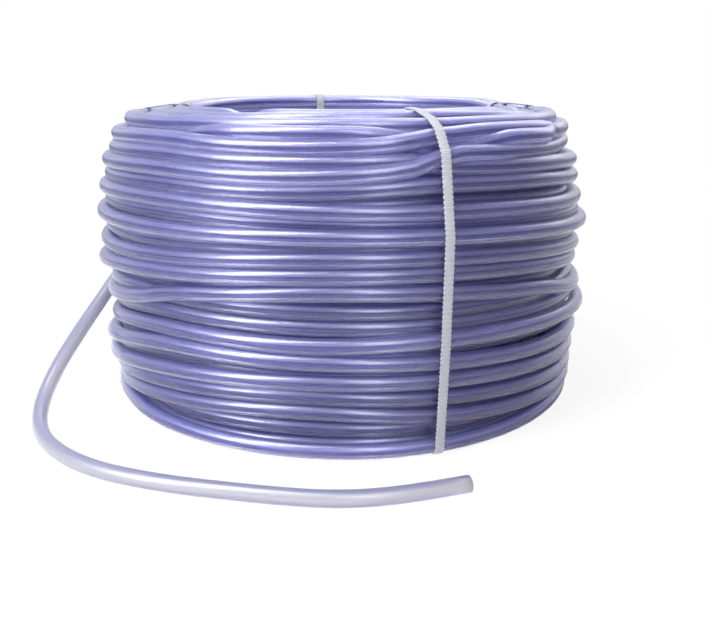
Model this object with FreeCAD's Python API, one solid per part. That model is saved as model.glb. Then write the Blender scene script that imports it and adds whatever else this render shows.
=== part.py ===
"""A roll of clear vinyl hose, tied with four woven tapes, with its outer end lying loose.

Millimetres, +Z up. The origin is on the roll's axis, on the surface that the roll stands on.
Angles round the roll are measured from the front (-Y) towards the right (+X).
"""
import FreeCAD, Part

import math
import os

# The hose
HOSE_OUTER = 12.0
HOSE_BORE = 8.0

# The roll's outer shape: radii are from its axis and heights from its foot
EYE_RADIUS = 138.0
BELLY_RADIUS = 211.0
ROLL_HEIGHT = 243.0
FOOT_INSET = 7.0
BELLY_BOTTOM = 88.0
BELLY_TOP = 150.0
SHOULDER_INSET = 6.0
SHOULDER_DROP = 22.0
CROWN_WIDTH = 43.0
CROWN_DROP = 7.0
CREST_WIDTH = 14.0
EDGE_BEVEL = 4.5
SHOULDER_BEVEL = 8.0

# The four tapes: flat woven bands drawn round the roll's section, their ends lapped inside the eye
TAPE_WIDTH = 7.0
TAPE_THICKNESS = 1.0
TAPE_LAP = 45.0
TAPE_SEAT = 0.3
TAPE_ANGLES = {"tape_front": 20.0, "tape_right": 104.0, "tape_back": 189.0, "tape_left": 259.0}

# The loose end: points of its route, from the roll's side down to the floor and round the front
FLOOR_CLEARANCE = 0.1
LYING = HOSE_OUTER / 2 + FLOOR_CLEARANCE
TAIL_ROUTE = [
    (-215.6, 22.0, 80.0),
    (-217.5, -18.0, 70.0),
    (-225.5, -60.0, 54.0),
    (-234.0, -98.0, 36.0),
    (-240.0, -127.0, 16.0),
    (-233.0, -159.0, LYING),
    (-211.0, -194.0, LYING),
    (-176.0, -225.0, LYING),
    (-126.0, -246.0, LYING),
    (-66.0, -260.0, LYING),
    (-6.0, -270.5, LYING),
    (45.0, -263.0, LYING),
    (93.0, -245.0, LYING),
]
BEND_SHARE = 0.45
BORE_RUNS = 2


def spot(radius, height):
    """A point of the roll's section, in the XZ plane."""
    return FreeCAD.Vector(radius, 0, height)


def roll_outline():
    """The wound turns cut through the roll's axis: flat foot, bulging side, top that falls outwards."""
    corners = [
        (spot(EYE_RADIUS, 0), EDGE_BEVEL),
        (spot(BELLY_RADIUS - FOOT_INSET, 0), EDGE_BEVEL),
        (spot(BELLY_RADIUS, BELLY_BOTTOM), 0),
        (spot(BELLY_RADIUS, BELLY_TOP), 0),
        (spot(BELLY_RADIUS - SHOULDER_INSET, ROLL_HEIGHT - SHOULDER_DROP), SHOULDER_BEVEL),
        (spot(EYE_RADIUS + CROWN_WIDTH, ROLL_HEIGHT - CROWN_DROP), 0),
        (spot(EYE_RADIUS + CREST_WIDTH, ROLL_HEIGHT), 0),
        (spot(EYE_RADIUS, ROLL_HEIGHT), EDGE_BEVEL),
    ]
    points = []
    for index, (corner, bevel) in enumerate(corners):
        if bevel:
            before = corners[index - 1][0]
            after = corners[(index + 1) % len(corners)][0]
            points.append(corner + (before - corner).normalize() * bevel)
            points.append(corner + (after - corner).normalize() * bevel)
        else:
            points.append(corner)
    return Part.makePolygon(points + points[:1])


def grown(outline, gap):
    """An outline moved outwards by gap, its corners kept."""
    return outline.makeOffset2D(gap, join=2)


def slab(outline, floor, width):
    """The section filled and given this width, with what lies under the height floor cut off."""
    solid = Part.Face(outline).extrude(FreeCAD.Vector(0, width, 0))
    solid.translate(FreeCAD.Vector(0, -width / 2, 0))
    reach = BELLY_RADIUS + HOSE_OUTER
    under = Part.makeBox(reach, 2 * width, ROLL_HEIGHT, FreeCAD.Vector(0, -width, floor - ROLL_HEIGHT))
    return solid.cut(under)


def turned(shape, angle):
    """The shape, made in the XZ plane, turned to its angle round the roll."""
    placed = shape.copy()
    placed.rotate(FreeCAD.Vector(0, 0, 0), FreeCAD.Vector(0, 0, 1), angle - 90)
    return placed


def tape(outline):
    """One tape: a closed band drawn round the roll's section, doubled where its ends lap inside the eye."""
    outside = slab(grown(outline, TAPE_SEAT + TAPE_THICKNESS), 0, TAPE_WIDTH)
    inside = slab(grown(outline, TAPE_SEAT), TAPE_THICKNESS, TAPE_WIDTH)
    lap_start = EYE_RADIUS - TAPE_SEAT - 2 * TAPE_THICKNESS
    lap_corner = FreeCAD.Vector(lap_start, -TAPE_WIDTH / 2, (ROLL_HEIGHT - TAPE_LAP) / 2)
    lap = Part.makeBox(1.5 * TAPE_THICKNESS, TAPE_WIDTH, TAPE_LAP, lap_corner)
    return outside.cut(inside).fuse(lap).removeSplitter()


def tape_bed():
    """What a tape presses out of the foot, so that the roll still stands flat."""
    width = TAPE_WIDTH + 2 * TAPE_SEAT
    start = EYE_RADIUS - TAPE_SEAT
    end = BELLY_RADIUS - FOOT_INSET + TAPE_SEAT
    corner = FreeCAD.Vector(start, -width / 2, -TAPE_SEAT)
    return Part.makeBox(end - start, width, TAPE_THICKNESS + 2 * TAPE_SEAT, corner)


def roll(outline):
    """The wound turns as one ring, with a bed across its foot for each tape."""
    ring = Part.Face(outline).revolve(FreeCAD.Vector(0, 0, 0), FreeCAD.Vector(0, 0, 1), 360)
    return ring.cut([turned(tape_bed(), angle) for angle in TAPE_ANGLES.values()])


def bend(before, corner, after):
    """The tangent arc at a route's corner, as large as the shorter run allows: (first, arc, last, radius)."""
    arrive = (corner - before).normalize()
    leave = (after - corner).normalize()
    half_turn = arrive.getAngle(leave) / 2
    reach = BEND_SHARE * min(before.distanceToPoint(corner), corner.distanceToPoint(after))
    radius = reach / math.tan(half_turn)
    first = corner - arrive * reach
    last = corner + leave * reach
    inwards = (leave - arrive).normalize()
    middle = corner + inwards * (radius / math.cos(half_turn) - radius)
    return first, Part.Arc(first, middle, last).toShape(), last, radius


def route_wire(route):
    """A route's straight runs joined by tangent arcs, as one wire, and the arcs' radii."""
    points = [FreeCAD.Vector(*point) for point in route]
    edges = []
    radii = []
    reached = points[0]
    for before, corner, after in zip(points, points[1:], points[2:]):
        first, arc, last, radius = bend(before, corner, after)
        edges += [Part.makeLine(reached, first), arc]
        radii.append(radius)
        reached = last
    edges.append(Part.makeLine(reached, points[-1]))
    return Part.Wire(edges), radii


def rod(path, diameter):
    """A round solid of this diameter along a path."""
    start = path.Edges[0]
    ring = Part.makeCircle(diameter / 2, start.Vertexes[0].Point, start.tangentAt(start.FirstParameter))
    return path.makePipeShell([Part.Wire(ring)], True, False)


def tail():
    """The loose end of the hose, its bore open at the cut and as far in as can be seen."""
    path, radii = route_wire(TAIL_ROUTE)
    solid = rod(path, HOSE_OUTER)
    expected = math.pi / 4 * HOSE_OUTER**2 * path.Length
    print("loose end: length %.1f mm, bend radii %s" % (path.Length, [round(r) for r in radii]))
    print("loose end: volume %.0f mm3, section times length %.0f mm3" % (solid.Volume, expected))
    cut_end = Part.Wire(path.Edges[1 - 2 * BORE_RUNS :])
    return solid.cut(rod(cut_end, HOSE_BORE))


def main():
    outline = roll_outline()
    nodes = {"hose_coil": roll(outline), "hose_tail": tail()}
    loop = tape(outline)
    for name, angle in TAPE_ANGLES.items():
        nodes[name] = turned(loop, angle)
    os.makedirs("parts", exist_ok=True)
    for name, shape in nodes.items():
        box = shape.optimalBoundingBox()
        size = (box.XLength, box.YLength, box.ZLength)
        print("%-11s valid %s, %.0f x %.0f x %.0f mm, %.0f mm3" % (name, shape.isValid(), *size, shape.Volume))
        shape.exportStep("parts/%s.step" % name)


main()
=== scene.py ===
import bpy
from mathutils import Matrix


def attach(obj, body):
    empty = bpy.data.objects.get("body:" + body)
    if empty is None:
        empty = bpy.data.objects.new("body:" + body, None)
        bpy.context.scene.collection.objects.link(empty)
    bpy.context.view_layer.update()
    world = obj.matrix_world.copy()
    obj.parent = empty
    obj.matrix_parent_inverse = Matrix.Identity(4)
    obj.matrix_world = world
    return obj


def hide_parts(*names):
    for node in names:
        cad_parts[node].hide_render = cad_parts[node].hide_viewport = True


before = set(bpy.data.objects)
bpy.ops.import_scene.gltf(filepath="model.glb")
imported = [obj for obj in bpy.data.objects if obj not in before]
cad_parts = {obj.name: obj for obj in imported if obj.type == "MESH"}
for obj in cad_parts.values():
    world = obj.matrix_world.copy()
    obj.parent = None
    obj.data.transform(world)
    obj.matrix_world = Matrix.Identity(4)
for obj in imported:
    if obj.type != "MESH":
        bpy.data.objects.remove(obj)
"""A tied roll of clear vinyl hose: its wound turns, its loose end and four woven tapes."""
import logging
import math
from collections.abc import Iterable
from dataclasses import dataclass, field
from enum import Enum

import bpy
import numpy as np

LOG = logging.getLogger("hose_roll")
ROOT = "root"
#: the maps of a mesh: for baking, for how far round the hose a corner lies, and for the weave
BAKE_MAP = "OFBake"
ROUND_MAP = "round"
WEAVE_MAP = "weave"
MILLIMETRES = 1000

Colour = tuple[float, float, float, float]
#: what goes into a shader socket: another socket to join it to, or a plain value
SocketValue = bpy.types.NodeSocket | float | tuple


class Slot(Enum):
    """The record's material slots."""

    VINYL = "clear_vinyl"
    TAPE = "woven_tape"


class TapePlace(Enum):
    """Azimuth of each tape, in degrees from the front towards the right."""

    FRONT = 20
    RIGHT = 104
    BACK = 189
    LEFT = 259


@dataclass(frozen=True)
class HoseSize:
    """Section of the hose in metres."""

    outer: float = 0.012
    bore: float = 0.008


# --------------------------------------------------------------------------- shader building


class NodeBoard:
    """Adds and joins shader nodes on one node tree."""

    def __init__(self, tree: bpy.types.NodeTree) -> None:
        """Keep the tree that the nodes go on."""
        self.tree = tree

    def add(self, kind: str, settings: dict | None = None, **inputs: SocketValue) -> bpy.types.Node:
        """Add one node and fill its sockets.

        Args:
            kind: the node's type name without its "ShaderNode" prefix.
            settings: attributes to set on the node.
            **inputs: what goes into its sockets, by socket name or by "i" and the socket's number.

        Returns:
            The new node.
        """
        prefix = "" if kind.startswith("Node") else "ShaderNode"
        node = self.tree.nodes.new(prefix + kind)
        for name, value in (settings or {}).items():
            setattr(node, name, value)
        for name, value in inputs.items():
            number = name[1:]
            key = int(number) if name[0] == "i" and number.isdigit() else name.replace("_", " ")
            self.join(value, node.inputs[key])
        return node

    def join(self, value: SocketValue, socket: bpy.types.NodeSocket) -> None:
        """Join a socket to another, or set it to a plain value.

        Args:
            value: the other socket or the plain value.
            socket: the socket to fill.
        """
        if isinstance(value, bpy.types.NodeSocket):
            self.tree.links.new(value, socket)
        else:
            socket.default_value = value

    def group(self, tree: bpy.types.NodeTree, **inputs: SocketValue) -> bpy.types.Node:
        """Place a node group, fill its inputs and return its node."""
        return self.add("Group", {"node_tree": tree}, **inputs)

    def math(self, operation: str, *values: SocketValue) -> bpy.types.NodeSocket:
        """Add a Math node on these values and return its result."""
        inputs = {f"i{number}": value for number, value in enumerate(values)}
        return self.add("Math", {"operation": operation}, **inputs).outputs[0]

    def mix_colour(self, share: SocketValue, first: SocketValue,
                   second: SocketValue) -> bpy.types.NodeSocket:
        """Mix two colours, with this share of the second, and return the mixed colour."""
        return self.add("Mix", {"data_type": "RGBA"}, i0=share, i6=first, i7=second).outputs[2]

    def ramp(self, value: SocketValue, low: SocketValue, high: SocketValue, out_low: float = 0.0,
             out_high: float = 1.0) -> bpy.types.NodeSocket:
        """Map the range of a value, low to high, smoothly onto another and return the result."""
        return self.add("MapRange", {"interpolation_type": "SMOOTHSTEP"}, i0=value, i1=low, i2=high,
                        i3=out_low, i4=out_high).outputs[0]

    def part(self, vector: bpy.types.NodeSocket, axis: str) -> bpy.types.NodeSocket:
        """Return one of the parts, X, Y or Z, of a vector."""
        return self.add("SeparateXYZ", Vector=vector).outputs[axis]


class GroupLibrary:
    """Node groups that more than one finish uses, each built once."""

    #: how steeply up the wall faces where each band of painted light and shade on the hose begins,
    #: and where it is full: a darker saturated crown where the turns touch, painted shade across
    #: the middle, a rim on the lower side that is a painted highlight on the wall, and painted
    #: shade again on the underside
    CROWN_BAND = (0.62, 0.92)
    SHADE_TOP = (0.50, 0.22)
    SHADE_FOOT = (-0.38, -0.12)
    RIM_BAND = (-0.18, -0.40)
    UNDERSIDE = (-0.66, -0.88)
    #: how much of the coat's gloss the painted shade band loses, which darkens it further
    GLOSS_LOSS = 0.6
    #: where the fold of the wall begins and is full, in turns round the section from the waist
    FOLD_FOOT = (-0.24, -0.115)
    FOLD_TOP = (-0.015, -0.115)
    #: levels of noise at which a patch of another tone begins and is full
    PATCH_LEVELS = (0.35, 0.68)

    @staticmethod
    def _new(name: str, inputs: list[tuple], outputs: list[tuple]
             ) -> tuple[bpy.types.NodeTree, NodeBoard, bpy.types.Node, bpy.types.Node]:
        """Make an empty group with its sockets.

        Args:
            name: the group's name.
            inputs: name, socket type and default of each input.
            outputs: name and socket type of each output.

        Returns:
            The group, a board on it, its input node and its output node.
        """
        tree = bpy.data.node_groups.new(name, "ShaderNodeTree")
        for label, kind, default in inputs:
            socket = tree.interface.new_socket(label, in_out="INPUT", socket_type=kind)
            socket.default_value = default
        for label, kind in outputs:
            tree.interface.new_socket(label, in_out="OUTPUT", socket_type=kind)
        board = NodeBoard(tree)
        return tree, board, board.add("NodeGroupInput"), board.add("NodeGroupOutput")

    @classmethod
    def uneven_tone(cls) -> bpy.types.NodeTree:
        """Give the group that varies a tone between two colours in soft patches.

        Returns:
            The group.
        """
        found = bpy.data.node_groups.get("uneven_tone")
        if found:
            return found
        tree, board, given, result = cls._new(
            "uneven_tone",
            [("Tone", "NodeSocketColor", (1, 1, 1, 1)), ("Patch", "NodeSocketColor", (1, 1, 1, 1)),
             ("Scale", "NodeSocketFloat", 20.0), ("Strength", "NodeSocketFloat", 0.5)],
            [("Colour", "NodeSocketColor"), ("Mask", "NodeSocketFloat")])
        place = board.add("NewGeometry").outputs["Position"]
        noise = board.add("TexNoise", Vector=place, Scale=given.outputs["Scale"], Detail=3.0)
        mask = board.ramp(noise.outputs[0], *cls.PATCH_LEVELS)
        share = board.math("MULTIPLY", mask, given.outputs["Strength"])
        board.join(board.mix_colour(share, given.outputs["Tone"], given.outputs["Patch"]),
                   result.inputs["Colour"])
        board.join(mask, result.inputs["Mask"])
        return tree

    @classmethod
    def painted_shading_bands(cls) -> bpy.types.NodeTree:
        """Give the group that paints light and shade on a hose in soft bands from its upper to its
        lower side, by which way the wall faces.

        Returns:
            The group, which also puts out where the wall folds and how much of its gloss the
            painted shade leaves.
        """
        found = bpy.data.node_groups.get("painted_shading_bands")
        if found:
            return found
        labels = ("Crown", "Body", "Shade", "Rim")
        tree, board, given, result = cls._new(
            "painted_shading_bands",
            [(label, "NodeSocketColor", (1, 1, 1, 1)) for label in labels],
            [("Colour", "NodeSocketColor"), ("Fold", "NodeSocketFloat"),
             ("Gloss", "NodeSocketFloat")])
        crown, body, shade, rim = (given.outputs[label] for label in labels)
        # painted light and shade: colour chosen by how steeply up the wall faces, not by any lamp
        facing = board.part(board.add("NewGeometry").outputs["Normal"], "Z")
        painted_shade = board.math("MULTIPLY", board.ramp(facing, *cls.SHADE_TOP),
                            board.ramp(facing, *cls.SHADE_FOOT))
        colour = board.mix_colour(board.ramp(facing, *cls.CROWN_BAND), body, crown)
        colour = board.mix_colour(painted_shade, colour, shade)
        colour = board.mix_colour(board.ramp(facing, *cls.RIM_BAND), colour, rim)
        colour = board.mix_colour(board.ramp(facing, *cls.UNDERSIDE), colour, shade)
        turned = board.part(board.add("UVMap", {"uv_map": ROUND_MAP}).outputs[0], "Y")
        fold = board.math("MULTIPLY", board.ramp(turned, *cls.FOLD_FOOT),
                          board.ramp(turned, *cls.FOLD_TOP))
        gloss = board.math("MULTIPLY_ADD", painted_shade, -cls.GLOSS_LOSS, 1.0)
        board.join(colour, result.inputs["Colour"])
        board.join(fold, result.inputs["Fold"])
        board.join(gloss, result.inputs["Gloss"])
        return tree

    @classmethod
    def leaving_share(cls) -> bpy.types.NodeTree:
        """Give the group that masks the loose end, softly from where it passes the left tape.

        Returns:
            The group.
        """
        found = bpy.data.node_groups.get("leaving_share")
        if found:
            return found
        tree, board, given, result = cls._new(
            "leaving_share",
            [("Start", "NodeSocketFloat", 0.040), ("End", "NodeSocketFloat", 0.004)],
            [("Mask", "NodeSocketFloat")])
        back = board.part(board.add("NewGeometry").outputs["Position"], "Y")
        mask = board.ramp(back, given.outputs["Start"], given.outputs["End"])
        board.join(mask, result.inputs["Mask"])
        return tree


# --------------------------------------------------------------------------- finishes


@dataclass(frozen=True)
class ClearVinyl:
    """Clear violet-tinted vinyl with a soft gloss."""

    name: str = "clear_vinyl_wall"
    # colours of the painted light and shade bands: a darker saturated crown, the body, the painted
    # shade, and the rim on the lower side, which on the wall is a painted highlight
    crown: Colour = (0.28, 0.32, 0.70, 1.0)
    body: Colour = (0.50, 0.49, 0.72, 1.0)
    shade: Colour = (0.14, 0.14, 0.32, 1.0)
    rim: Colour = (0.86, 0.85, 0.95, 1.0)
    patch: Colour = (0.72, 0.72, 0.90, 1.0)
    patch_scale: float = 26.0
    patch_strength: float = 0.12
    transmission: float = 0.94
    roughness: float = 0.25
    ior: float = 1.48
    shine: float = 0.8
    coat: float = 1.0
    coat_roughness: float = 0.33
    coat_ior: float = 1.65
    gloss_tint: Colour = (0.86, 0.87, 1.0, 1.0)
    coat_tint: Colour = (0.97, 0.97, 1.0, 1.0)
    #: long waves in the wall
    wave_scale: float = 90.0
    wave_strength: float = 0.015
    wave_depth: float = 0.001
    #: the flattened lower side of the wall: its share, and its depth in metres
    fold: float = 1.0
    fold_depth: float = 0.0030
    #: share and colour of the lamps' light that goes straight through
    lamps_through: float = 0.92
    passed: Colour = (0.92, 0.91, 0.95, 1.0)
    #: the finish that the same hose has on the roll, given for its loose end, whose own colours are
    #: a paler, greyer painted copy of it standing in for light through a single layer
    on_roll: "ClearVinyl | None" = None

    def colour(self, board: NodeBoard, away: bpy.types.NodeSocket | None, name: str) -> SocketValue:
        """Choose one of the colours, turning into the roll's own towards the roll.

        Args:
            board: where the nodes go.
            away: the mask of the loose end, or None for a finish of the roll.
            name: the colour's field.

        Returns:
            The plain colour, or the socket of the mixed one.
        """
        if self.on_roll is None:
            return getattr(self, name)
        return board.mix_colour(away, getattr(self.on_roll, name), getattr(self, name))

    def value(self, board: NodeBoard, away: bpy.types.NodeSocket | None, name: str) -> SocketValue:
        """Choose one of the values, turning into the roll's own towards the roll.

        Args:
            board: where the nodes go.
            away: the mask of the loose end, or None for a finish of the roll.
            name: the value's field.

        Returns:
            The plain value where it is the same all over, or the socket of the mixed one.
        """
        own = getattr(self, name)
        near = own if self.on_roll is None else getattr(self.on_roll, name)
        return own if near == own else board.math("MULTIPLY_ADD", away, own - near, near)

    def relief(self, board: NodeBoard, away: bpy.types.NodeSocket | None,
               fold_place: bpy.types.NodeSocket) -> bpy.types.NodeSocket:
        """Add the bump of the waves and, where there is one, of the fold.

        Args:
            board: where the nodes go.
            away: the mask of the loose end, or None for a finish of the roll.
            fold_place: where the wall folds.

        Returns:
            The normal of the surface.
        """
        place = board.add("NewGeometry").outputs["Position"]
        waves = board.add("TexNoise", Vector=place, Scale=self.wave_scale, Detail=2.0).outputs[0]
        normal = board.add("Bump", Height=waves, Strength=self.wave_strength,
                           Distance=self.wave_depth).outputs[0]
        fold = self.value(board, away, "fold")
        if fold != 0.0:
            fold = board.math("MULTIPLY", fold_place, fold)
            normal = board.add("Bump", Height=fold, Strength=1.0, Distance=self.fold_depth,
                               Normal=normal).outputs[0]
        return normal

    def make(self) -> bpy.types.Material:
        """Build the material.

        Returns:
            The material.
        """
        material = bpy.data.materials.new(self.name)
        material.use_nodes = True
        board = NodeBoard(material.node_tree)
        shader = material.node_tree.nodes["Principled BSDF"]
        away = None
        if self.on_roll is not None:
            away = board.group(GroupLibrary.leaving_share()).outputs["Mask"]
        # the wall's light and shade are painted into its colour in bands
        tints = {name.title(): self.colour(board, away, name)
                 for name in ("crown", "body", "shade", "rim")}
        bands = board.group(GroupLibrary.painted_shading_bands(), **tints)
        tone = board.group(GroupLibrary.uneven_tone(), Tone=bands.outputs["Colour"],
                           Patch=self.colour(board, away, "patch"), Scale=self.patch_scale,
                           Strength=self.patch_strength)
        coat = self.value(board, away, "coat")
        if coat != 0.0:
            coat = board.math("MULTIPLY", bands.outputs["Gloss"], coat)
        board.join(tone.outputs["Colour"], shader.inputs["Base Color"])
        board.join(self.relief(board, away, bands.outputs["Fold"]), shader.inputs["Normal"])
        board.join(self.value(board, away, "roughness"), shader.inputs["Roughness"])
        board.join(coat, shader.inputs["Coat Weight"])
        shader.inputs["IOR"].default_value = self.ior
        shader.inputs["Specular IOR Level"].default_value = self.shine
        shader.inputs["Specular Tint"].default_value = self.gloss_tint
        shader.inputs["Coat Tint"].default_value = self.coat_tint
        shader.inputs["Coat Roughness"].default_value = self.coat_roughness
        shader.inputs["Coat IOR"].default_value = self.coat_ior
        shader.inputs["Transmission Weight"].default_value = self.transmission
        rays = board.add("LightPath")
        passing = board.math("MULTIPLY", rays.outputs["Is Shadow Ray"], self.lamps_through)
        clear = board.add("BsdfTransparent", Color=self.passed)
        both = board.add("MixShader", i0=passing, i1=shader.outputs[0], i2=clear.outputs[0])
        board.join(both.outputs[0], material.node_tree.nodes["Material Output"].inputs["Surface"])
        return material


@dataclass(frozen=True)
class WovenTape:
    """Matt white tape woven with fine cross ribs, with painted shade in the hollows between them.
    """

    tone: Colour = (0.485, 0.495, 0.50, 1.0)
    patch: Colour = (0.42, 0.43, 0.45, 1.0)
    patch_scale: float = 160.0
    patch_strength: float = 0.4
    rib_pitch: float = 0.0017
    yarn_pitch: float = 0.0007
    #: how much of the relief the yarns have beside the ribs
    yarn_share: float = 0.35
    relief_strength: float = 0.5
    relief_depth: float = 0.0003
    #: painted shade in the hollows between ribs: its colour, how much of it they get, and the
    #: levels of the relief between which it fades
    hollow_shade: Colour = (0.30, 0.31, 0.36, 1.0)
    hollow_shade_share: float = 0.55
    hollow_shade_levels: tuple[float, float] = (-1.2, 0.6)
    roughness: float = 0.85
    fuzz: float = 0.15

    def make(self) -> bpy.types.Material:
        """Build the material.

        Returns:
            The material.
        """
        material = bpy.data.materials.new("white_woven_tape")
        material.use_nodes = True
        board = NodeBoard(material.node_tree)
        shader = material.node_tree.nodes["Principled BSDF"]
        tone = board.group(GroupLibrary.uneven_tone(), Tone=self.tone, Patch=self.patch,
                           Scale=self.patch_scale, Strength=self.patch_strength)
        flat = board.add("UVMap", {"uv_map": WEAVE_MAP}).outputs[0]
        ribs = board.math("MULTIPLY", board.part(flat, "X"), math.tau / self.rib_pitch)
        ribs = board.math("SINE", ribs)
        yarns = board.math("MULTIPLY", board.part(flat, "Y"), math.tau / self.yarn_pitch)
        yarns = board.math("MULTIPLY", ribs, board.math("SINE", yarns))
        weave = board.math("MULTIPLY_ADD", yarns, self.yarn_share, ribs)
        bump = board.add("Bump", Height=weave, Strength=self.relief_strength,
                         Distance=self.relief_depth)
        # painted shade darkens the tape's colour in the hollows between ribs
        hollow_shade = board.ramp(weave, *self.hollow_shade_levels, self.hollow_shade_share, 0.0)
        board.join(board.mix_colour(hollow_shade, tone.outputs["Colour"], self.hollow_shade),
                   shader.inputs["Base Color"])
        board.join(bump.outputs[0], shader.inputs["Normal"])
        shader.inputs["Roughness"].default_value = self.roughness
        shader.inputs["Sheen Weight"].default_value = self.fuzz
        return material


@dataclass(frozen=True)
class PaleFloor:
    """White floor that keeps a soft shadow."""

    colour: Colour = (0.90, 0.90, 0.91, 1.0)
    #: share of the glow beside the roll, and how far from the axis it starts to grow and is full
    near_share: float = 0.86
    near: float = 0.35
    far: float = 0.95
    #: how far from the axis the floor that is seen through the hose starts to glow, and does fully
    clear_from: float = 0.17
    clear_full: float = 0.24

    def make(self) -> bpy.types.Material:
        """Build the material.

        Returns:
            The material.
        """
        material = bpy.data.materials.new("pale_floor")
        material.use_nodes = True
        material.node_tree.nodes.clear()
        board = NodeBoard(material.node_tree)
        rays = board.add("LightPath")
        place = board.add("NewGeometry").outputs["Position"]
        away = board.add("VectorMath", {"operation": "LENGTH"}, i0=place).outputs["Value"]
        through = board.math("MULTIPLY", rays.outputs["Is Transmission Ray"],
                             board.ramp(away, self.clear_from, self.clear_full))
        seen = board.math("MAXIMUM", rays.outputs["Is Camera Ray"], through)
        share = board.math("MULTIPLY", seen, board.ramp(away, self.near, self.far, self.near_share))
        matt = board.add("BsdfDiffuse", Color=self.colour)
        glow = board.add("Emission", Color=(1, 1, 1, 1), Strength=1.0)
        both = board.add("MixShader", i0=share, i1=matt.outputs[0], i2=glow.outputs[0])
        out = board.add("OutputMaterial", Surface=both.outputs[0])
        out.is_active_output = True
        return material


# --------------------------------------------------------------------------- the winding


@dataclass(frozen=True)
class RollShape:
    """The outer shape that the turns are kept in. Lengths are in metres and angles in degrees."""

    eye_radius: float = 0.138
    #: heights, and how far out the middle of a turn may lie at each
    side_heights: tuple[float, ...] = (0.006, 0.02, 0.06, 0.085, 0.12, 0.16, 0.20, 0.215, 0.225,
                                       0.234)
    side_radii: tuple[float, ...] = (0.203, 0.204, 0.208, 0.2105, 0.2085, 0.208, 0.2005, 0.195,
                                     0.1895, 0.172)
    #: radii, and how high the middle of a turn may lie at each
    top_radii: tuple[float, ...] = (0.144, 0.152, 0.181, 0.196, 0.205)
    top_heights: tuple[float, ...] = (0.237, 0.237, 0.2315, 0.224, 0.212)
    #: how deep the foot is tucked in at the left, its azimuth, where the tuck ends and is full to
    #: both sides of that, and the height that it reaches up to, in a soft edge
    tuck_depth: float = 0.0055
    tuck_azimuth: float = -100.0
    tuck_end: float = 60.0
    tuck_full: float = 40.0
    tuck_height: float = 0.034
    tuck_edge: float = 0.012
    #: how deep the top dips at the two sides, their azimuth, how wide the dips are, and the radius
    #: that they reach out to, in a soft edge
    dip_depth: float = 0.0055
    dip_azimuth: float = 84.0
    dip_spread: float = 30.0
    dip_radius: float = 0.176
    dip_edge: float = 0.008

    def widest(self, z: np.ndarray, azimuth: np.ndarray) -> np.ndarray:
        """Find how far out a turn may lie.

        Args:
            z: heights of the turns.
            azimuth: azimuth of each station of a turn.

        Returns:
            The largest radius of each station.
        """
        reach = np.abs(azimuth - self.tuck_azimuth) - self.tuck_end
        tuck = self.tuck_depth * np.clip(reach / (self.tuck_full - self.tuck_end), 0, 1)
        limit = np.interp(z, self.side_heights, self.side_radii)
        return limit - tuck * np.clip((self.tuck_height - z) / self.tuck_edge, 0, 1)

    def highest(self, r: np.ndarray, azimuth: np.ndarray) -> np.ndarray:
        """Find how high a turn may lie.

        Args:
            r: radii of the turns.
            azimuth: azimuth of each station of a turn.

        Returns:
            The largest height of each station.
        """
        reach = 1 - np.abs(np.abs(azimuth) - self.dip_azimuth) / self.dip_spread
        dip = self.dip_depth * np.clip(reach, 0, 1) ** 0.5
        limit = np.interp(r, self.top_radii, self.top_heights)
        return limit - dip * np.clip((self.dip_radius - r) / self.dip_edge, 0, 1)


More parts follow.
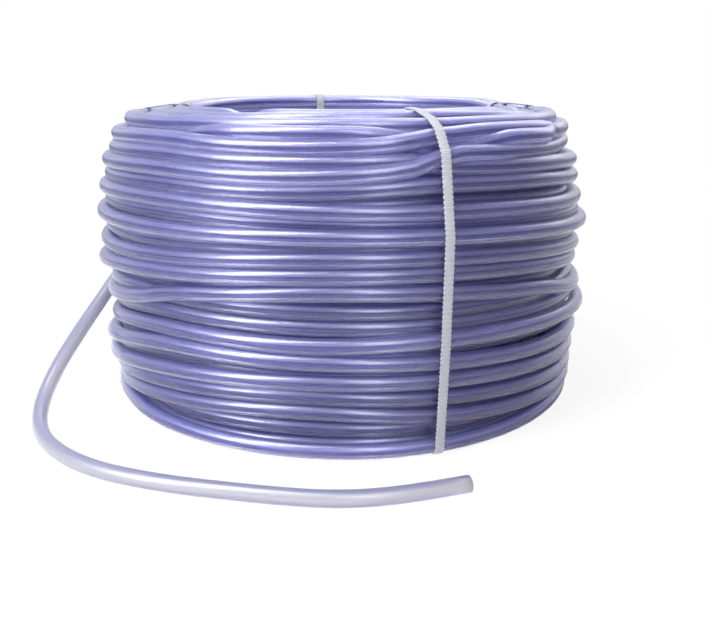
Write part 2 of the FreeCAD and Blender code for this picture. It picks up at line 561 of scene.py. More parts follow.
@dataclass
class Winding:
    """Lays the hose turn by turn on the eye and lets the turns settle against each other.

    A turn runs from azimuth -180 to 180 degrees, measured from the front towards the right.
    Heights and radii are in millimetres in the tables and in metres elsewhere.
    """

    hose: HoseSize
    shape: RollShape = RollShape()
    #: points in one turn, and the least distance between two turns in hose diameters
    stations: int = 72
    squeeze: float = 0.97
    #: start of the random numbers
    seed: int = 5
    #: lowest turn, highest turn, number of turns, and side of the steps from turn to turn
    inner_layers: tuple = ((6, 237, 12, -60), (7, 236, 12, 140), (6, 234, 12, 60),
                           (8, 226, 11, -150), (6, 230, 12, 20))
    #: half of a step from one turn to the next, and how far to either side it may lie, in degrees
    half_step: float = 40.0
    step_spread: float = 14.0
    #: azimuths at which the listed turns have their heights, and the least angle along the hose
    #: between two points with a height of their own
    marks: tuple = (-75, -40, -10, 30, 75)
    least_angle: float = 12.0
    #: how far the layer beneath the listed ones lies inside them
    layer_step: float = 9.0
    #: azimuths at which the listed turns have their radii
    radius_marks: tuple = (-75, 5, 75)
    #: the lowest turn beneath the listed ones: heights at the marks, then radii
    foot_turn: tuple = (6, 6, 6, 6, 6, 187, 190, 188)
    #: the layer under the last one, from the foot up
    under_turns: tuple = (
        (6, 7, 7, 7, 8, 199, 203, 200),
        (15, 29, 37, 26, 15, 197, 200, 201),
        (25, 42, 48, 41, 28, 198, 199, 202),
        (37, 55, 60, 56, 43, 204, 203.5, 203),
        (53, 75, 75, 70, 61, 205.5, 204.5, 204.5),
        (70, 86, 87, 90, 83, 199.5, 205, 209.5),
        (84, 98, 98, 97, 92, 196, 197, 200),
        (102, 109, 109, 106, 104, 198, 197, 198),
        (119, 131, 136, 135, 120, 207.2, 204.5, 200),
        (148, 152, 155, 153, 143, 199, 199, 198),
        (168, 171, 170, 168, 160, 198, 197, 200),
        (189, 193, 192, 196, 186, 197, 196, 197),
        (209, 213, 211, 208, 199, 192, 193, 195),
        (231, 232, 232, 232, 230, 178, 179, 180))
    #: the last layer, from the shoulder down
    last_turns: tuple = (
        (219, 221, 218, 227, 223, 189.5, 189.5, 186),
        (199, 203, 202, 214, 216, 198, 199, 185),
        (178, 182, 180, 177, 169, 202, 203, 200.5),
        (158, 161, 162, 160, 151, 205.5, 205.5, 206),
        (136, 141, 148, 146, 131, 203.5, 203, 202),
        (89, 112, 124, 119, 97, 200.5, 204.5, 202))
    #: where the last turn goes behind the roll before it leaves: azimuth, height and radius
    leaving_run: tuple = ((150, 104, 205), (225, 103, 208.5), (250, 94, 213), (264.2, 80, 216.7))
    #: how unevenly the turns lie in height, in millimetres, and how many times in a turn
    shake: float = 0.6
    shakes: int = 8
    #: how far from the eye the hose may be laid before it settles
    thickest: float = 0.074
    #: height of the stations past the hose's end, well clear of all others
    parked: float = 2.0
    #: rounds of settling, and what one round does: the share of an overlap that is pushed apart, of
    #: a kink in radius and in height that is eased, and of a bulge that is pressed in, and how far
    #: the turns are drawn towards the eye
    rounds: int = 260
    push: float = 0.3
    ease_radius: float = 0.16
    ease_height: float = 0.08
    press: float = 0.5
    tighten: float = 0.00003
    #: distance of a turn to itself, so that nothing is divided by nought
    no_gap: float = 1e-9
    #: layer, and the shares by which its turns are kept at their heights and drawn to their radii
    guided_layers: tuple = ((5, 0.05, 0.10), (6, 0.12, 0.2))
    #: azimuth to either side at which the heights are no longer kept, and the soft edge before it
    front_end: float = 110.0
    front_edge: float = 30.0
    #: stations before the end that are kept at their heights, and by what share
    leaving_stations: int = 32
    leaving_share: float = 0.3
    #: stations before the end that may lie outside the roll's shape, and how far out
    free_stations: int = 12
    free_radius: float = 0.217
    #: radius and height of every station, the heights it was laid at, and whether the hose is there
    r: np.ndarray = field(init=False, repr=False)
    z: np.ndarray = field(init=False, repr=False)
    wanted: np.ndarray = field(init=False, repr=False)
    live: np.ndarray = field(init=False, repr=False)
    #: the turn at which each layer starts, and azimuths and radii that the hose is drawn to
    starts: list[int] = field(default_factory=list)
    reach: list[tuple[float, float]] = field(default_factory=list)

    def hidden_turns(self) -> list[tuple[float, ...]]:
        """Place the layer beneath the listed ones, each turn between two of theirs.

        Returns:
            Heights and radii of its turns, from the shoulder down.
        """
        inset = [0.0] * len(self.marks) + [self.layer_step] * len(self.radius_marks)
        rows = []
        for low, high in zip(self.under_turns, self.under_turns[1:]):
            rows.append(tuple((a + b) / 2 - step for a, b, step in zip(low, high, inset)))
        return rows[::-1] + [self.foot_turn]

    def knots(self, draw: np.random.Generator) -> list[tuple[float, float]]:
        """List the heights that the hose passes through, and note where its layers start.

        Args:
            draw: the random numbers for the sides of the steps.

        Returns:
            The azimuth and height of each point, in order along the hose.
        """
        points: list[tuple[float, float]] = []
        turn = 0
        for number, (low, high, count, side) in enumerate(self.inner_layers):
            self.starts.append(turn)
            heights = low + (high - low) * (np.arange(count) / (count - 1))
            for height in heights[::-1] if number % 2 else heights:
                step = side + draw.uniform(-self.step_spread, self.step_spread)
                points.append((turn * 360 + step - (360 - self.half_step), float(height)))
                points.append((turn * 360 + step - self.half_step, float(height)))
                turn += 1
        for rows in (self.hidden_turns(), self.under_turns, self.last_turns):
            self.starts.append(turn)
            for row in rows:
                heights, radii = row[:len(self.marks)], row[len(self.marks):]
                points.extend((turn * 360 + mark, float(height))
                              for mark, height in zip(self.marks, heights))
                self.reach.extend((turn * 360 + mark, radius / MILLIMETRES)
                                  for mark, radius in zip(self.radius_marks, radii))
                turn += 1
        for azimuth, height, radius in self.leaving_run:
            points.append(((turn - 1) * 360 + azimuth, float(height)))
            self.reach.append(((turn - 1) * 360 + azimuth, radius / MILLIMETRES))
        self.starts.append(turn)
        points.sort()
        kept = [points[0]]
        for point in points[1:]:
            if point[0] > kept[-1][0] + self.least_angle:
                kept.append(point)
        return kept

    @staticmethod
    def through(points: list[tuple[float, float]], at: np.ndarray) -> np.ndarray:
        """Read heights on the smooth line through the points.

        Args:
            points: place along the hose and height of each point.
            at: the places to give heights for.

        Returns:
            The height at each place.
        """
        x, y = np.array(points).T
        slope = np.gradient(y, x)
        i = np.clip(np.searchsorted(x, at, side="right") - 1, 0, len(x) - 2)
        width = x[i + 1] - x[i]
        u = np.clip((at - x[i]) / width, 0, 1)
        rise = y[i] * (1 + 2 * u) * (1 - u) ** 2 + y[i + 1] * u * u * (3 - 2 * u)
        return rise + width * (slope[i] * u * (1 - u) ** 2 - slope[i + 1] * u * u * (1 - u))

    def along(self, first: int, last: int) -> np.ndarray:
        """Return the azimuths of the stations from one, up to another, along the whole hose."""
        return -180 + np.arange(first, last) * 360 / self.stations

    def lay(self) -> None:
        """Lay every turn in order, each on what is already there."""
        draw = np.random.default_rng(self.seed)
        points = self.knots(draw)
        turns = self.starts[-1] + 1
        azimuth = self.along(0, turns * self.stations)
        shake = draw.normal(0, self.shake, turns * self.shakes + 2)
        height = self.through(points, azimuth)
        height += self.through(list(enumerate(shake)), (azimuth + 180) / (360 / self.shakes))
        last = (self.starts[-1] - 1) * 360 + self.leaving_run[-1][0]
        self.live = (azimuth <= last).reshape(turns, self.stations)
        z = np.maximum(height / MILLIMETRES, self.hose.outer / 2).reshape(turns, self.stations)
        need = self.hose.outer * self.squeeze
        eye = self.shape.eye_radius
        r = np.zeros_like(z)
        for turn in range(turns):
            floor = np.full(self.stations, eye + self.hose.outer / 2)
            if turn:
                drop = z[:turn] - z[turn]
                rest = np.sqrt(np.maximum(need ** 2 - drop ** 2, 0))
                floor = np.maximum(floor, np.where(np.abs(drop) < need, r[:turn] + rest, 0).max(0))
            r[turn] = np.minimum(floor, eye + self.thickest)
        z[~self.live] = self.parked
        self.r, self.z, self.wanted = r, z, z.copy()

    def guides(self, count: int) -> tuple[np.ndarray, np.ndarray, np.ndarray]:
        """Set out how firmly each station is guided while the turns settle.

        Args:
            count: number of stations that the hose has.

        Returns:
            The share by which its height is kept, the share by which its radius is drawn, and the
            radius that it is drawn to.
        """
        aside = np.abs(self.along(0, self.stations))
        front = np.clip((self.front_end - aside) / self.front_edge, 0, 1)
        hold = np.zeros_like(self.z)
        draw_out = np.zeros_like(self.z)
        for layer, keep, pull in self.guided_layers:
            hold[self.starts[layer]:] = keep * front
            draw_out[self.starts[layer]:] = pull
        hold.ravel()[count - self.leaving_stations:count] = self.leaving_share
        place, radius = np.array(self.reach).T
        aim = np.interp(self.along(0, self.z.size), place, radius).reshape(self.z.shape)
        return hold, draw_out, aim

    def settle(self) -> None:
        """Push the turns apart where they meet, and keep each turn's run smooth."""
        r, z = self.r, self.z
        need = self.hose.outer * self.squeeze
        half = self.hose.outer / 2
        azimuth = self.along(0, self.stations)
        count = int(self.live.sum())
        hold, draw_out, aim = self.guides(count)
        eased = ((r.ravel()[:count], self.ease_radius), (z.ravel()[:count], self.ease_height))
        for _ in range(self.rounds):
            across = r[:, None] - r[None]
            up = z[:, None] - z[None]
            gap = np.sqrt(across * across + up * up) + self.no_gap
            push = np.where(gap < need, (need - gap) / gap, 0.0) * self.push
            r += (push * across).sum(1)
            z += (push * up).sum(1)
            for line, share in eased:
                line[1:-1] += share * ((line[:-2] + line[2:]) / 2 - line[1:-1])
            z += hold * (self.wanted - z)
            r -= self.tighten
            r += draw_out * (aim - r)
            widest = self.shape.widest(z, azimuth)
            widest.ravel()[count - self.free_stations:count] = self.free_radius
            r -= self.press * np.maximum(r - widest, 0)
            r[:] = np.maximum(r, self.shape.eye_radius + half)
            z -= self.press * np.maximum(z - self.shape.highest(r, azimuth), 0)
            z[:] = np.maximum(z, half)
            z[~self.live] = self.parked
        self.report()

    def report(self) -> None:
        """Log how far the turns still press into each other."""
        across = self.r[:, None] - self.r[None]
        up = self.z[:, None] - self.z[None]
        gap = np.sqrt(across * across + up * up) + np.eye(len(self.r))[:, :, None]
        closest = gap.min(1)[self.live] * MILLIMETRES
        LOG.info("turns %d, closest centres %.2f mm, 1%% below %.2f mm",
                 self.starts[-1], closest.min(), np.percentile(closest, 1))
        LOG.info("widest %.1f mm, highest %.1f mm", self.r[self.live].max() * MILLIMETRES,
                 self.z[self.live].max() * MILLIMETRES)

    def points(self, first: int, last: int) -> np.ndarray:
        """Give the hose's points from one station to another.

        Args:
            first: number of the first station along the whole hose.
            last: number one past the last station.

        Returns:
            Rows of x, y and z.
        """
        azimuth = np.radians(self.along(first, last))
        r, z = self.r.ravel()[first:last], self.z.ravel()[first:last]
        return np.stack([r * np.sin(azimuth), -r * np.cos(azimuth), z], axis=1)


# --------------------------------------------------------------------------- tubes and cords


class RouteLine:
    """A NURBS spline through the scene, and the points read from it."""

    @staticmethod
    def read(control: np.ndarray, resolution: int) -> np.ndarray:
        """Read the points of the NURBS spline that has these control points.

        Args:
            control: rows of x, y and z.
            resolution: points per run of the spline.

        Returns:
            Rows of x, y and z along the spline.
        """
        curve = bpy.data.curves.new("route_line", "CURVE")
        curve.dimensions = "3D"
        spline = curve.splines.new("NURBS")
        spline.points.add(len(control) - 1)
        flat = np.ones((len(control), 4))
        flat[:, :3] = control
        spline.points.foreach_set("co", flat.ravel())
        spline.order_u = 3
        spline.use_endpoint_u = True
        spline.resolution_u = resolution
        holder = bpy.data.objects.new("route_line", curve)
        mesh = bpy.data.meshes.new_from_object(holder)
        line = np.empty(len(mesh.vertices) * 3)
        mesh.vertices.foreach_get("co", line)
        bpy.data.objects.remove(holder)
        bpy.data.meshes.remove(mesh)
        bpy.data.curves.remove(curve)
        return line.reshape(-1, 3)


def make_mesh(name: str, verts: np.ndarray, corners: np.ndarray, sizes: np.ndarray,
              maps: dict[str, np.ndarray], flat_from: int | None = None,
              second: slice | None = None) -> bpy.types.Object:
    """Make a mesh object from arrays.

    Args:
        name: the object's name.
        verts: rows of x, y and z.
        corners: vertex numbers of all faces, one face after the other.
        sizes: number of corners of each face.
        maps: places of the corners by map name.
        flat_from: number of the first face that is shaded flat.
        second: the faces with the second material.

    Returns:
        The object, linked to the scene.
    """
    mesh = bpy.data.meshes.new(name)
    mesh.vertices.add(len(verts))
    mesh.vertices.foreach_set("co", np.asarray(verts, dtype=np.float32).ravel())
    mesh.loops.add(len(corners))
    mesh.loops.foreach_set("vertex_index", np.asarray(corners, dtype=np.int32))
    mesh.polygons.add(len(sizes))
    starts = np.concatenate([[0], np.cumsum(sizes)[:-1]]).astype(np.int32)
    mesh.polygons.foreach_set("loop_start", starts)
    smooth = np.ones(len(sizes), dtype=bool)
    if flat_from is not None:
        smooth[flat_from:] = False
    mesh.polygons.foreach_set("use_smooth", smooth)
    if second is not None:
        finish = np.zeros(len(sizes), dtype=np.int32)
        finish[second] = 1
        mesh.polygons.foreach_set("material_index", finish)
    for label, places in maps.items():
        layer = mesh.uv_layers.new(name=label)
        layer.uv.foreach_set("vector", np.asarray(places, dtype=np.float32).ravel())
    mesh.update(calc_edges=True)
    mesh.validate()
    piece = bpy.data.objects.new(name, mesh)
    bpy.context.scene.collection.objects.link(piece)
    return piece


@dataclass
class HoseTube:
    """A hollow hose along a line, with its wall, its bore and two square-cut ends."""

    name: str
    hose: HoseSize
    #: sides of the wall, twice as many as those of the bore
    sides: int = 36
    #: rings in one strip of the bake map, and what the wall and the bore take of the strip's width
    strip: int = 72
    wall_band: tuple[float, float] = (0.02, 0.60)
    bore_band: tuple[float, float] = (0.64, 0.96)
    #: the small patch of the bake map that all faces of the cut ends share
    end_patch: tuple = ((0.5, 0.998), (0.502, 0.998), (0.504, 0.998), (0.503, 0.999),
                        (0.501, 0.999))
    #: margin at a strip's two ends, and the part of the map's height that the strips take
    strip_margin: float = 0.002
    strips_height: float = 0.995

    def build(self, line: np.ndarray) -> bpy.types.Object:
        """Make the tube's mesh along the line.

        Args:
            line: rows of x, y and z down the middle of the hose.

        Returns:
            The tube as an object.
        """
        rows = len(line)
        outer, inner = self.sides, self.sides // 2
        along = np.gradient(line, axis=0)
        along /= np.linalg.norm(along, axis=1, keepdims=True)
        side = np.cross(along, (0.0, 0.0, 1.0))
        side /= np.linalg.norm(side, axis=1, keepdims=True)
        up = np.cross(side, along)
        walls = []
        for radius, count in ((self.hose.outer / 2, outer), (self.hose.bore / 2, inner)):
            turn = np.arange(count) * math.tau / count
            ring = side[:, None] * np.cos(turn)[:, None] + up[:, None] * np.sin(turn)[:, None]
            walls.append((line[:, None] + radius * ring).reshape(-1, 3))
        faces, uvs = self._wall(rows, outer, 0, False, self.wall_band)
        bore_faces, bore_uvs = self._wall(rows, inner, rows * outer, True, self.bore_band)
        quads = np.concatenate([faces, bore_faces])
        ends = self._ends(rows, outer, inner)
        corners = np.concatenate([quads.ravel(), np.array(ends).ravel()])
        sizes = np.concatenate([np.full(len(quads), 4), np.full(len(ends), 5)])
        bake = np.concatenate([uvs, bore_uvs, np.tile(self.end_patch, (len(ends), 1))])
        tilt = np.concatenate([np.tile(self._tilt(outer), rows), np.tile(self._tilt(inner), rows)])
        way = np.stack([np.zeros(len(corners)), tilt[corners]], axis=1)
        maps = {BAKE_MAP: bake, ROUND_MAP: way}
        return make_mesh(self.name, np.concatenate(walls), corners, sizes, maps, len(quads),
                         slice(len(faces), len(quads)))

    def _wall(self, rows: int, count: int, base: int, inward: bool,
              band: tuple[float, float]) -> tuple[np.ndarray, np.ndarray]:
        """Make one wall's faces and place them on the bake map.

        Args:
            rows: number of rings along the tube.
            count: sides of each ring.
            base: number of the wall's first vertex.
            inward: whether the wall faces the middle of the tube.
            band: what the wall takes of the width of its strips of the map.

        Returns:
            The quads as rows of four vertices, and the map places of their corners.
        """
        row = np.arange(rows - 1)[:, None]
        col = np.arange(count)[None, :]
        first, second = base + row * count + col, base + row * count + (col + 1) % count
        quads = np.stack([first, second, second + count, first + count], axis=-1).reshape(-1, 4)
        strips = (rows - 1) // self.strip + 1
        strip = np.broadcast_to(row // self.strip, (rows - 1, count)).ravel()
        u = np.broadcast_to((row % self.strip) / self.strip, (rows - 1, count)).ravel()
        v = np.broadcast_to(col / count, (rows - 1, count)).ravel()
        step_u, step_v = 1 / self.strip, 1 / count
        places = []
        for add_u, add_v in ((0, 0), (0, step_v), (step_u, step_v), (step_u, 0)):
            along = self.strip_margin + (1 - 2 * self.strip_margin) * (u + add_u)
            across = band[0] + (band[1] - band[0]) * (v + add_v)
            up = (strip + across) / strips * self.strips_height
            places.append(np.stack([along, up], axis=-1))
        uv = np.stack(places, axis=1)
        if not inward:
            quads, uv = quads[:, ::-1], uv[:, ::-1]
        return quads, uv.reshape(-1, 2)

    @staticmethod
    def _tilt(count: int) -> np.ndarray:
        """Return how far up each corner of a ring lies, in turns from the hose's waist."""
        return np.arcsin(np.sin(np.arange(count) * math.tau / count)) / math.tau

    @staticmethod
    def _ends(rows: int, outer: int, inner: int) -> list[list[int]]:
        """Make the faces of the two cut ends, each a ring between wall and bore.

        Args:
            rows: number of rings along the tube.
            outer: sides of the wall.
            inner: sides of the bore.

        Returns:
            The five corners of each face.
        """
        faces = []
        for row, flip in ((0, False), (rows - 1, True)):
            wall, bore = row * outer, rows * outer + row * inner
            for i in range(inner):
                face = [wall + 2 * i, wall + 2 * i + 1, wall + (2 * i + 2) % outer,
                        bore + (i + 1) % inner, bore + i]
                faces.append(face[::-1] if flip else face)
        return faces


@dataclass
class HoseRoll:
    """The whole hose: wound turns in four lengths, the last of them with the loose end."""

    hose: HoseSize
    winding: Winding
    #: wall, bore, and the same two of the loose end
    finishes: list[bpy.types.Material]
    #: turns along the hose at which one modelled length ends and the next begins
    joints: tuple[float, ...] = (0.0, 25.3, 50.6, 72.0)
    names: tuple[str, ...] = ("hose_turns_inner", "hose_turns_middle", "hose_turns_outer",
                              "hose_turns_last")
    sides: tuple[int, ...] = (28, 28, 36, 36)
    #: azimuth, under the left tape, from which the last turn has the loose end's finish
    loose_from: float = float(TapePlace.LEFT.value)
    #: the loose end's route in metres, from where it leaves the roll
    loose_end: tuple = (
        (-0.2175, -0.018, 0.070), (-0.2255, -0.060, 0.054), (-0.234, -0.098, 0.036),
        (-0.240, -0.127, 0.016), (-0.233, -0.159, 0.0061), (-0.211, -0.194, 0.0061),
        (-0.176, -0.225, 0.0061), (-0.126, -0.246, 0.0061), (-0.066, -0.260, 0.0061),
        (-0.006, -0.2705, 0.0061), (0.045, -0.263, 0.0061), (0.093, -0.245, 0.0061))
    #: points per run of the last length's spline, which of them the loose end keeps, and the
    #: stations before it that keep as many. The other turns keep one point in each run
    fine: int = 12
    loose_every: int = 2
    fine_before: int = 6

    def build(self) -> list[bpy.types.Object]:
        """Build every length of hose.

        Returns:
            The lengths, in order along the hose.
        """
        count = int(self.winding.live.sum())
        edges = [round(turn * self.winding.stations) for turn in self.joints] + [count]
        pieces = []
        for number, name in enumerate(self.names):
            final = number == len(self.names) - 1
            control = self.winding.points(edges[number], edges[number + 1] + (0 if final else 1))
            line = self.with_loose_end(control) if final else RouteLine.read(control, 1)
            piece = HoseTube(name, self.hose, self.sides[number]).build(line)
            if final:
                self.dress_loose_end(piece, line, len(control) - self.fine_before)
            self.declare(piece, final)
            pieces.append(piece)
        return pieces

    def with_loose_end(self, control: np.ndarray) -> np.ndarray:
        """Carry the last turns on into the loose end.

        Args:
            control: the stations of the last turns.

        Returns:
            The points of both.
        """
        line = RouteLine.read(np.concatenate([control, np.array(self.loose_end)]), self.fine)
        split = (len(control) - self.fine_before) * self.fine
        return np.concatenate([line[:split:self.fine], line[split::self.loose_every]])

    def dress_loose_end(self, piece: bpy.types.Object, line: np.ndarray, wound: int) -> None:
        """Give the loose end its paler finish, a lighter painted copy of the roll's vinyl, from
        where it passes the left tape.

        Args:
            piece: the tube.
            line: the points down its middle.
            wound: number of points before the last bit of the last turn.
        """
        rows = len(line)
        azimuth = np.degrees(np.arctan2(line[:, 0], -line[:, 1])) % 360
        start = int(np.argmax((azimuth >= self.loose_from) & (np.arange(rows) >= wound)))
        mesh = piece.data
        finish = np.empty(len(mesh.polygons), dtype=np.int32)
        mesh.polygons.foreach_get("material_index", finish)
        outer = len(mesh.vertices) * 2 // 3 // rows
        inner = outer // 2
        gaps = np.arange(rows - 1)
        ring = np.concatenate([np.repeat(gaps, outer), np.repeat(gaps, inner),
                               np.zeros(inner, dtype=int), np.full(inner, rows)])
        mesh.polygons.foreach_set("material_index", finish + 2 * (ring >= start).astype(np.int32))
        mesh.update()

    def declare(self, piece: bpy.types.Object, final: bool) -> None:
        """Args:
            piece: the tube.
            final: whether it ends in the loose end.
        """
        for finish in self.finishes[:4 if final else 2]:
            piece.data.materials.append(finish)
        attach(piece, ROOT)
        if final:
            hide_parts("hose_coil", "hose_tail")


# --------------------------------------------------------------------------- tapes


@dataclass
class TiedTape:
    """A woven tape drawn tight round the section of the roll, with its ends lapped in the eye."""

    name: str
    azimuth: float
    winding: Winding
    finish: bpy.types.Material
    width: float = 0.007
    thickness: float = 0.001
    lap: float = 0.045
    #: length of a row of faces, and of one scallop of the edges
    pitch: float = 0.0004
    segment: float = 0.0034
    #: how far off the turns the band's middle lies, and the lapped end, in thicknesses
    seat: float = 0.35
    lap_lift: float = 1.05
    #: part of the lap in which its end rises
    lap_rise: float = 0.3
    #: height in the eye at which the tape starts, and a radius that is past the eye's wall
    start_height: float = 0.13
    eye_limit: float = 0.16
    #: the upper side of the section from edge to edge: places across, and heights in thicknesses
    across: tuple[float, ...] = (-0.5, -0.42, -0.25, 0.0, 0.25, 0.42, 0.5)
    crown: tuple[float, ...] = (0.25, 0.46, 0.5, 0.5, 0.5, 0.46, 0.25)
    #: least width and thickness between two ribs, and what a rib adds
    scallop: tuple[float, float] = (0.84, 0.26)
    rib: tuple[float, float] = (0.80, 0.35)
    #: spots round one turn that the tape may rest on, and steps in which its bends are rounded
    spots: int = 48
    rounding: int = 9
    #: strips of the bake map
    strips: int = 8

    def outline(self) -> np.ndarray:
        """Draw the closed line round the turns at the tape's azimuth.

        Returns:
            Rows of radius and height.
        """
        size = self.winding.stations
        place = (self.azimuth + 180) / 360 * size
        low, share = int(place) % size, place % 1
        high = (low + 1) % size
        live = self.winding.live[:, low] & self.winding.live[:, high]
        r = (self.winding.r[:, low] * (1 - share) + self.winding.r[:, high] * share)[live]
        z = (self.winding.z[:, low] * (1 - share) + self.winding.z[:, high] * share)[live]
        reach = self.winding.hose.outer / 2 + self.thickness * self.seat
        turn = np.arange(self.spots) * math.tau / self.spots
        out = r[:, None] + reach * np.cos(turn)
        up = np.maximum(z[:, None] + reach * np.sin(turn), self.thickness * 0.5)
        return self.hull(np.stack([out.ravel(), up.ravel()], axis=1))

    @staticmethod
    def hull(spots: np.ndarray) -> np.ndarray:
        """Draw the tightest closed line round the spots.

        Args:
            spots: rows of radius and height.

        Returns:
            The line's corners in order.
        """
        def half(rows: np.ndarray) -> list[np.ndarray]:
            """Draw one side of the closed line.

            Args:
                rows: the spots, sorted along the line.

            Returns:
                The side's corners without the last one.
            """
            kept: list[np.ndarray] = []
            for spot in rows:
                while len(kept) > 1:
                    a, b = kept[-1] - kept[-2], spot - kept[-2]
                    if a[0] * b[1] - a[1] * b[0] > 0:
                        break
                    kept.pop()
                kept.append(spot)
            return kept[:-1]

        order = spots[np.lexsort((spots[:, 1], spots[:, 0]))]
        return np.array(half(order) + half(order[::-1]))

    def rounded(self, line: np.ndarray) -> np.ndarray:
        """Round off the sudden changes in a row of numbers.

        Args:
            line: the numbers.

        Returns:
            As many numbers, rounded off.
        """
        weights = np.hanning(self.rounding + 2)[1:-1]
        weights /= weights.sum()
        return np.convolve(np.pad(line, self.rounding // 2, mode="edge"), weights, "valid")

    def build(self) -> bpy.types.Object:
        """Build the tape.

        Returns:
            The tape.
        """
        ring = self.outline()
        off_start = np.abs(ring[:, 1] - self.start_height) + (ring[:, 0] > self.eye_limit)
        ring = np.roll(ring, -int(np.argmin(off_start)), axis=0)
        ring = np.concatenate([ring, ring[:1]])
        steps = np.concatenate([[0], np.cumsum(np.linalg.norm(np.diff(ring, axis=0), axis=1))])
        around = steps[-1]
        total = around + self.lap
        at = np.linspace(0, total, int(total / self.pitch))
        r = self.rounded(np.interp(at % around, steps, ring[:, 0]))
        z = self.rounded(np.interp(at % around, steps, ring[:, 1]))
        flat = np.stack([np.gradient(r), np.gradient(z)], axis=1)
        flat /= np.linalg.norm(flat, axis=1, keepdims=True)
        out = np.stack([flat[:, 1], -flat[:, 0]], axis=1)
        rise = self.lap * self.lap_rise
        late = np.clip((at - around + rise) / rise, 0, 1)
        lift = self.thickness * self.lap_lift * late * late * (3 - 2 * late)
        return self.band(r + lift * out[:, 0], z + lift * out[:, 1], out, at)

    def band(self, r: np.ndarray, z: np.ndarray, out: np.ndarray,
             at: np.ndarray) -> bpy.types.Object:
        """Make the woven band along its middle line.

        Args:
            r: distance of the middle line from the roll's axis.
            z: height of the middle line.
            out: the direction away from the turns, as radius and height.
            at: distance along the band.

        Returns:
            The tape.
        """
        turn = math.radians(self.azimuth)
        radial = np.array([math.sin(turn), -math.cos(turn)])
        side = np.array([math.cos(turn), math.sin(turn), 0.0])
        middle = np.column_stack([r[:, None] * radial, z])
        face = np.column_stack([out[:, :1] * radial, out[:, 1]])
        scallop = self.scallop[0] + self.scallop[1] * np.abs(np.sin(at * math.pi / self.segment))
        rib = self.rib[0] + self.rib[1] * np.abs(np.sin(at * math.tau / self.segment))
        wide = np.array(self.across + self.across[::-1])
        high = np.concatenate([self.crown, np.negative(self.crown[::-1])])
        wide_by = wide[None, :, None] * self.width * scallop[:, None, None]
        high_by = high[None, :, None] * self.thickness * rib[:, None, None]
        verts = middle[:, None] + side * wide_by + face[:, None] * high_by
        rows, count = len(at), len(wide)
        row, col = np.arange(rows - 1)[:, None], np.arange(count)[None, :]
        first, second = row * count + col, row * count + (col + 1) % count
        quads = np.stack([first, first + count, second + count, second], axis=-1).reshape(-1, 4)
        ends = [np.arange(count), (rows - 1) * count + np.arange(count)[::-1]]
        corners = np.concatenate([quads.ravel(), *ends])
        sizes = np.concatenate([np.full(len(quads), 4), [count, count]])
        piece = make_mesh(self.name, verts.reshape(-1, 3), corners, sizes, self.maps(at, wide))
        piece.data.materials.append(self.finish)
        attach(piece, ROOT)
        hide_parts(self.name.replace("_woven", ""))
        LOG.info("%s: %.3f m long, %d faces", piece.name, at[-1], len(piece.data.polygons))
        return piece

    def maps(self, at: np.ndarray, wide: np.ndarray) -> dict[str, np.ndarray]:
        """Place the corners of the band's faces on the weave map and on the bake map.

        Args:
            at: distance of each row along the band.
            wide: place across the band of each corner of its section.

        Returns:
            The places by map name, with those of the two end faces last.
        """
        count = len(wide)
        column = np.arange(count)
        u_low, u_high = at[:-1] / at[-1] * self.strips, at[1:] / at[-1] * self.strips
        strip = np.minimum(np.floor(u_low), self.strips - 1)
        u_low, u_high = u_low - strip, np.minimum(u_high - strip, 1)
        weave = np.empty((len(at) - 1, count, 4, 2))
        bake = np.empty_like(weave)
        for corner, (later, beyond) in enumerate(((False, 0), (True, 0), (True, 1), (False, 1))):
            weave[:, :, corner, 0] = (at[1:] if later else at[:-1])[:, None]
            weave[:, :, corner, 1] = np.roll(wide, -beyond) * self.width
            bake[:, :, corner, 0] = (u_high if later else u_low)[:, None]
            across = (column + beyond + 0.5) / (count + 1)
            bake[:, :, corner, 1] = (strip[:, None] + across[None]) / self.strips
        ends = np.zeros((2 * count, 2))
        return {WEAVE_MAP: np.concatenate([weave.reshape(-1, 2), ends]),
                BAKE_MAP: np.concatenate([bake.reshape(-1, 2), ends])}


# --------------------------------------------------------------------------- studio


@dataclass(frozen=True)
class Softbox:
    """A rectangular lamp that faces the roll. Angles are in degrees and lengths in metres."""

    name: str
    #: from the front towards the right, and up from the floor
    azimuth: float
    rise: float
    away: float
    size: tuple[float, float]
    watts: float
    #: height of the point that it faces
    aim: float = 0.12

    def hang(self) -> None:
        """Hang the lamp."""
        data = bpy.data.lights.new(self.name, "AREA")
        data.shape = "RECTANGLE"
        data.size, data.size_y = self.size
        data.energy = self.watts
        lamp = bpy.data.objects.new(self.name, data)
        turn, rise = math.radians(self.azimuth), math.radians(self.rise)
        level = self.away * math.cos(rise)
        lamp.location = (level * math.sin(turn), -level * math.cos(turn),
                         self.aim + self.away * math.sin(rise))
        lamp.rotation_euler = (math.pi / 2 - rise, 0.0, turn)
        bpy.context.scene.collection.objects.link(lamp)


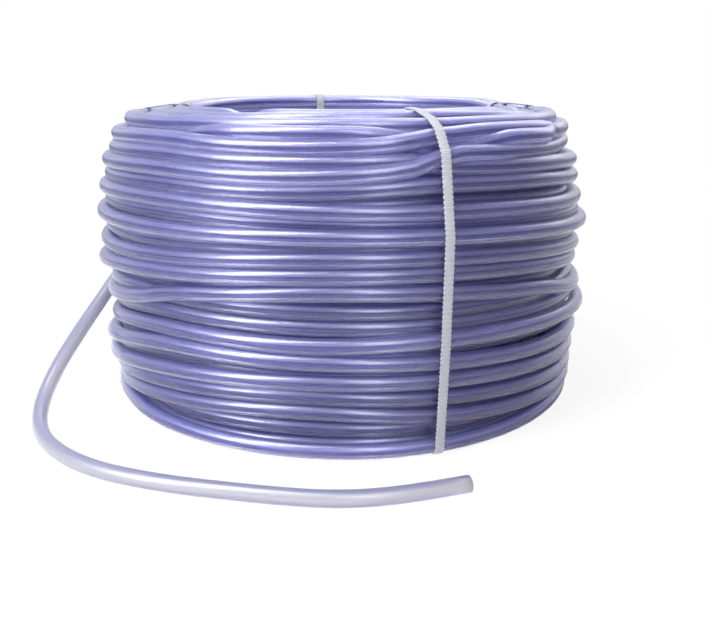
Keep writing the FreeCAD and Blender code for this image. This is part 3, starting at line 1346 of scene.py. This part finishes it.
@dataclass
class Studio:
    """Pale floor, white surroundings, soft lamps and the camera."""

    floor: bpy.types.Material
    floor_half: float = 6.0
    lamps: tuple[Softbox, ...] = (Softbox("lamp_key", -50, 48, 1.8, (0.6, 2.2), 52.0),
                                  Softbox("lamp_front", 16, 40, 1.8, (0.4, 1.4), 12.0),
                                  Softbox("lamp_fill", 135, 35, 1.8, (0.9, 1.2), 4.0),
                                  Softbox("lamp_back", 175, 50, 2.0, (1.4, 0.9), 14.0))
    #: light of the surroundings from the left and from the right, and between which sides of the
    #: middle one turns into the other
    left_light: Colour = (0.10, 0.15, 0.30, 1.0)
    right_light: Colour = (0.20, 0.15, 0.17, 1.0)
    light_turn: tuple[float, float] = (-0.6, 0.7)
    #: share of white that the gloss shows of the surroundings behind, and how far back it begins
    #: and is full
    behind_share: float = 0.6
    behind: tuple[float, float] = (0.1, 0.7)
    camera_place: tuple[float, float, float] = (0.0, -0.744, 0.2719)
    camera_dip: float = 17.02
    lens: float = 41.93
    sensor: float = 36.0
    shift: float = 0.0205

    def build(self) -> None:
        """Build the studio round the roll."""
        self.build_floor()
        self.build_world()
        for lamp in self.lamps:
            lamp.hang()
        self.build_camera()
        bpy.context.scene.view_settings.view_transform = "Standard"

    def build_floor(self) -> None:
        """Lay the floor."""
        half = self.floor_half
        verts = np.array([(-half, -half, 0), (half, -half, 0), (half, half, 0), (-half, half, 0)])
        floor = make_mesh("studio_floor", verts, np.arange(4), np.array([4]), {})
        floor.data.materials.append(self.floor)

    def build_world(self) -> None:
        """Make the surroundings: white where they are seen, softer where they only light."""
        world = bpy.data.worlds.new("studio_world")
        world.use_nodes = True
        world.node_tree.nodes.clear()
        board = NodeBoard(world.node_tree)
        rays = board.add("LightPath")
        way = board.add("SeparateXYZ", Vector=board.add("TexCoord").outputs["Generated"])
        side = board.mix_colour(board.ramp(way.outputs["X"], *self.light_turn), self.left_light,
                                self.right_light)
        soft = board.add("Background", Color=side, Strength=1.0)
        white = board.add("Background", Color=(1.0, 1.0, 1.0, 1.0), Strength=1.0)
        seen = board.math("MAXIMUM", rays.outputs["Is Camera Ray"],
                          rays.outputs["Is Transmission Ray"])
        screen = board.ramp(way.outputs["Y"], *self.behind, 0.0, self.behind_share)
        screen = board.math("MULTIPLY", rays.outputs["Is Glossy Ray"], screen)
        seen = board.math("MAXIMUM", seen, screen)
        both = board.add("MixShader", i0=seen, i1=soft.outputs[0], i2=white.outputs[0])
        board.add("OutputWorld", Surface=both.outputs[0])
        bpy.context.scene.world = world

    def build_camera(self) -> None:
        """Set up the camera."""
        data = bpy.data.cameras.new("camera")
        data.sensor_width, data.lens, data.shift_x = self.sensor, self.lens, self.shift
        data.clip_start, data.clip_end = 0.01, 50.0
        camera = bpy.data.objects.new("camera", data)
        camera.location = self.camera_place
        camera.rotation_euler = (math.radians(90 - self.camera_dip), 0.0, 0.0)
        bpy.context.scene.collection.objects.link(camera)
        bpy.context.scene.camera = camera


# --------------------------------------------------------------------------- the whole roll


def vinyl_finishes() -> list[bpy.types.Material]:
    """Make the finishes of the hose.

    Returns:
        Wall and bore on the roll, then wall and bore of the loose end, which are lighter painted
        copies of the first two.
    """
    wall = ClearVinyl()
    bore = ClearVinyl(
        "clear_vinyl_bore", crown=(0.56, 0.56, 0.82, 1.0), body=(0.56, 0.56, 0.82, 1.0),
        shade=(0.50, 0.50, 0.78, 1.0), rim=(0.60, 0.60, 0.84, 1.0), patch=(0.60, 0.60, 0.84, 1.0),
        transmission=0.86, fold=0.0, coat=0.0)
    # the loose end: the same vinyl painted paler and greyer, with darker violet crown and rim at
    # its edges and its palest band in the middle
    loose_wall_painted_paler = ClearVinyl(
        "clear_vinyl_loose_wall", crown=(0.34, 0.35, 0.50, 1.0), body=(0.54, 0.53, 0.54, 1.0),
        shade=(0.60, 0.59, 0.60, 1.0), rim=(0.34, 0.34, 0.46, 1.0), patch=(0.58, 0.57, 0.58, 1.0),
        transmission=0.75, roughness=0.32, gloss_tint=(0.95, 0.95, 1.0, 1.0), fold=0.0, coat=0.5,
        on_roll=wall)
    loose_bore_painted_paler = ClearVinyl(
        "clear_vinyl_loose_bore", crown=(0.60, 0.60, 0.68, 1.0), body=(0.66, 0.65, 0.68, 1.0),
        shade=(0.68, 0.67, 0.70, 1.0), rim=(0.60, 0.60, 0.68, 1.0), patch=(0.68, 0.67, 0.70, 1.0),
        transmission=0.75, roughness=0.35, gloss_tint=(0.95, 0.95, 1.0, 1.0), fold=0.0, coat=0.0,
        on_roll=bore)
    return [finish.make() for finish in (wall, bore, loose_wall_painted_paler, loose_bore_painted_paler)]


def main() -> None:
    """Build the roll, its tapes and the studio."""
    logging.basicConfig(level=logging.INFO, format="%(name)s: %(message)s")
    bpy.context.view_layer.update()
    hose = HoseSize()
    winding = Winding(hose)
    winding.lay()
    winding.settle()
    HoseRoll(hose, winding, vinyl_finishes()).build()
    tape_finish = WovenTape().make()
    for place in TapePlace:
        TiedTape(f"tape_{place.name.lower()}_woven", place.value, winding, tape_finish).build()
    Studio(PaleFloor().make()).build()


if __name__ == "__main__":
    main()
